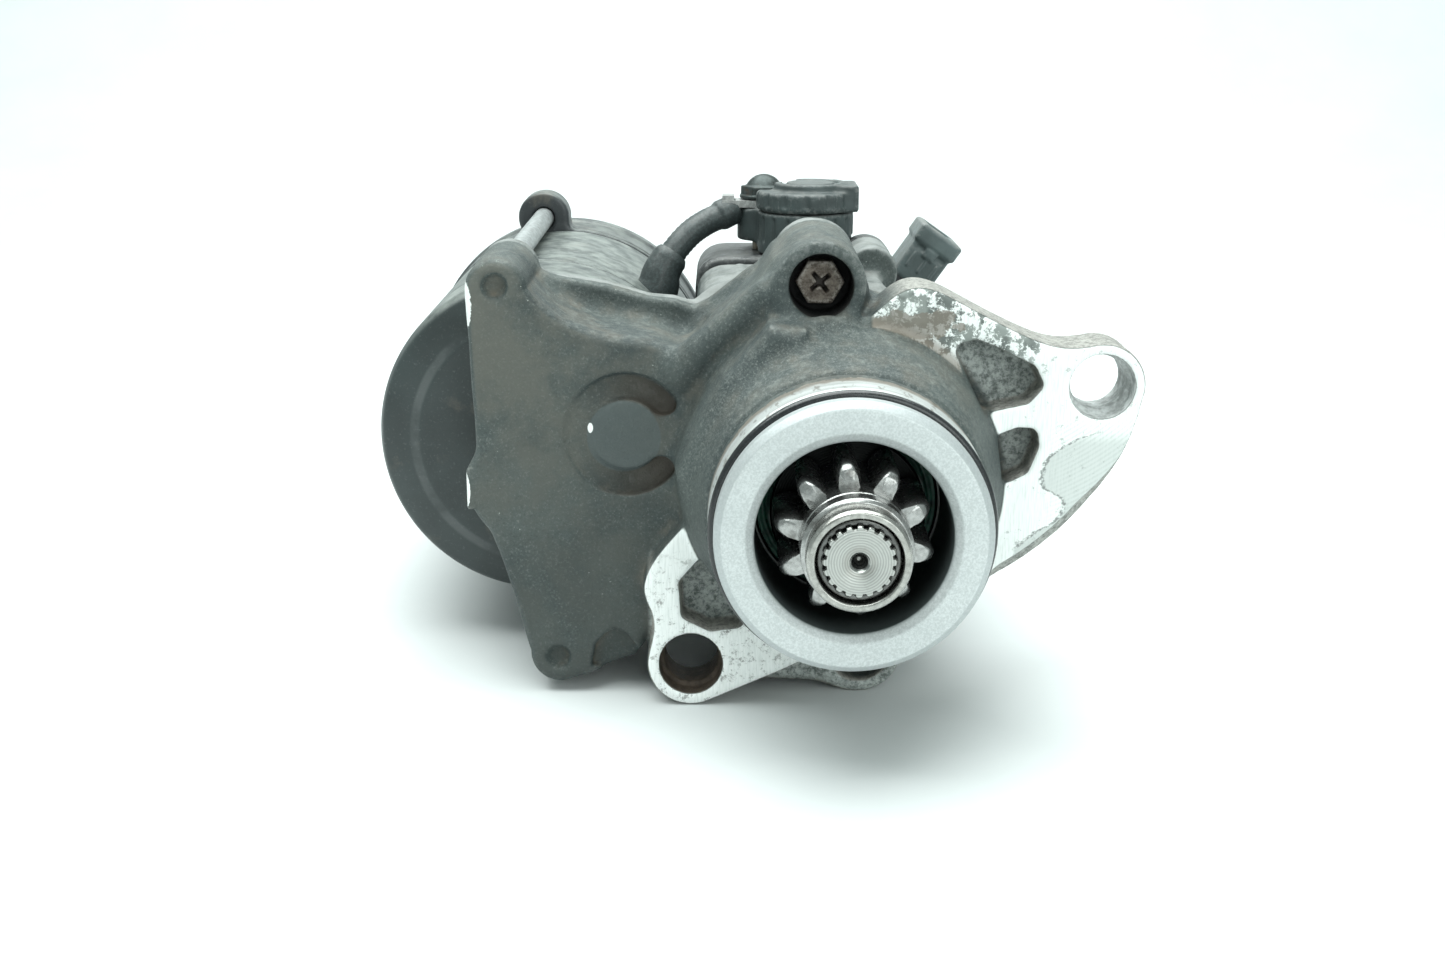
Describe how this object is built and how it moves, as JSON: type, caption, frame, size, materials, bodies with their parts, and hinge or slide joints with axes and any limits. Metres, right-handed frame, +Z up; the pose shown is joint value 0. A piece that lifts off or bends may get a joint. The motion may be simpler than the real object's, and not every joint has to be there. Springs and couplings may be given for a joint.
{
  "type": "starter motor",
  "caption": "Offset gear reduction car starter motor with a nose pinion, two-hole mounting flange, magnetic switch beside the motor and a top terminal with its lead.",
  "frame": {"origin": "bottom centre of the part's box, as it lies on a bench on its lower flange ear, lower housing lug and lower rear ear", "axes": "-Y along the pinion shaft, out of the nose towards the ring gear; +X from the motor towards the flange's upper ear; +Z up to the terminals"},
  "size_m": [0.1786, 0.2154, 0.112],
  "materials": {
    "cast_paint": "matt charcoal paint over cast aluminium, worn to bare metal at edges",
    "yoke_paint": "satin charcoal paint over pressed steel",
    "steel": "ground and turned steel, satin",
    "zinc_steel": "zinc plated, dull",
    "core_iron": "laminated iron, dull",
    "copper": "copper, lightly tarnished",
    "black_plastic": "moulded black plastic",
    "black_rubber": "black rubber",
    "seal_rubber": "dark green rubber",
    "carbon": "pressed carbon and copper"
  },
  "bodies": {
    "root": {"armature_front_bearing": "steel", "armature_rear_bearing": "steel", "battery_terminal": "copper", "brush_1": "carbon", "brush_2": "carbon", "brush_3": "carbon", "brush_4": "carbon", "brush_holder": "zinc_steel", "cover_screw_1": "zinc_steel", "cover_screw_2": "zinc_steel", "cover_screw_3": "zinc_steel", "drive_housing": "cast_paint", "field_winding": "copper", "front_bearing_outer": "steel", "front_bearing_seal": "seal_rubber", "housing_screw_bottom": "zinc_steel", "housing_screw_top": "zinc_steel", "idler_pin": "steel", "lead_grommet": "black_rubber", "lead_lug": "copper", "motor_lead": "black_rubber", "motor_nut": "zinc_steel", "motor_terminal": "copper", "nose_oring": "black_rubber", "pole_core_1": "core_iron", "pole_core_2": "core_iron", "pole_core_3": "core_iron", "pole_core_4": "core_iron", "rear_cover": "yoke_paint", "signal_connector": "black_plastic", "switch_coil": "copper", "switch_cover": "black_plastic", "switch_housing": "cast_paint", "terminal_block": "black_plastic", "terminal_cap": "black_plastic", "through_bolt_bottom": "zinc_steel", "through_bolt_top": "zinc_steel", "yoke": "yoke_paint"},
    "armature": {"armature_shaft": "steel", "armature_core": "core_iron", "armature_winding_front": "copper", "armature_winding_rear": "copper", "commutator": "copper"},
    "idler": {"idler_gear": "steel"},
    "clutch_outer": {"clutch_gear": "steel", "clutch_roller_1": "steel", "clutch_roller_2": "steel", "clutch_roller_3": "steel", "clutch_roller_4": "steel", "clutch_roller_5": "steel"},
    "clutch_inner": {"clutch_inner": "steel", "front_bearing_inner": "steel", "return_spring": "core_iron"},
    "drive": {"pinion_shaft": "steel", "pinion": "steel", "stop_collar": "zinc_steel", "snap_ring": "core_iron", "steel_ball": "steel"},
    "plunger": {"plunger": "steel", "contact_disc": "copper"}
  },
  "joints": [
    {"name": "armature_spin", "type": "hinge", "parent": "root", "child": "armature", "pos_m": [-0.0483, -0.00725, 0.0524], "axis": [0, 1, 0], "continuous": true},
    {"name": "idler_spin", "type": "hinge", "parent": "root", "child": "idler", "pos_m": [-0.026, -0.03025, 0.06127], "axis": [0, 1, 0], "continuous": true},
    {"name": "clutch_gear_spin", "type": "hinge", "parent": "root", "child": "clutch_outer", "pos_m": [0.0227, -0.05025, 0.0524], "axis": [0, 1, 0], "continuous": true},
    {"name": "clutch_overrun", "type": "hinge", "parent": "clutch_outer", "child": "clutch_inner", "pos_m": [0.0227, -0.05025, 0.0524], "axis": [0, 1, 0], "continuous": true},
    {"name": "pinion_slide", "type": "slide", "parent": "clutch_inner", "child": "drive", "axis": [0, -1, 0], "range_m": [0, 0.0125], "stiffness_N_per_m": 1500, "springref_m": -0.01, "deforming": ["return_spring"]},
    {"name": "plunger_slide", "type": "slide", "parent": "root", "child": "plunger", "axis": [0, -1, 0], "range_m": [0, 0.0125]}
  ],
  "couplings": [
    {"joint": "idler_spin", "follows": "armature_spin", "ratio": -0.45454},
    {"joint": "clutch_gear_spin", "follows": "armature_spin", "ratio": 0.22727},
    {"joint": "plunger_slide", "follows": "pinion_slide", "ratio": 1}
  ]
}
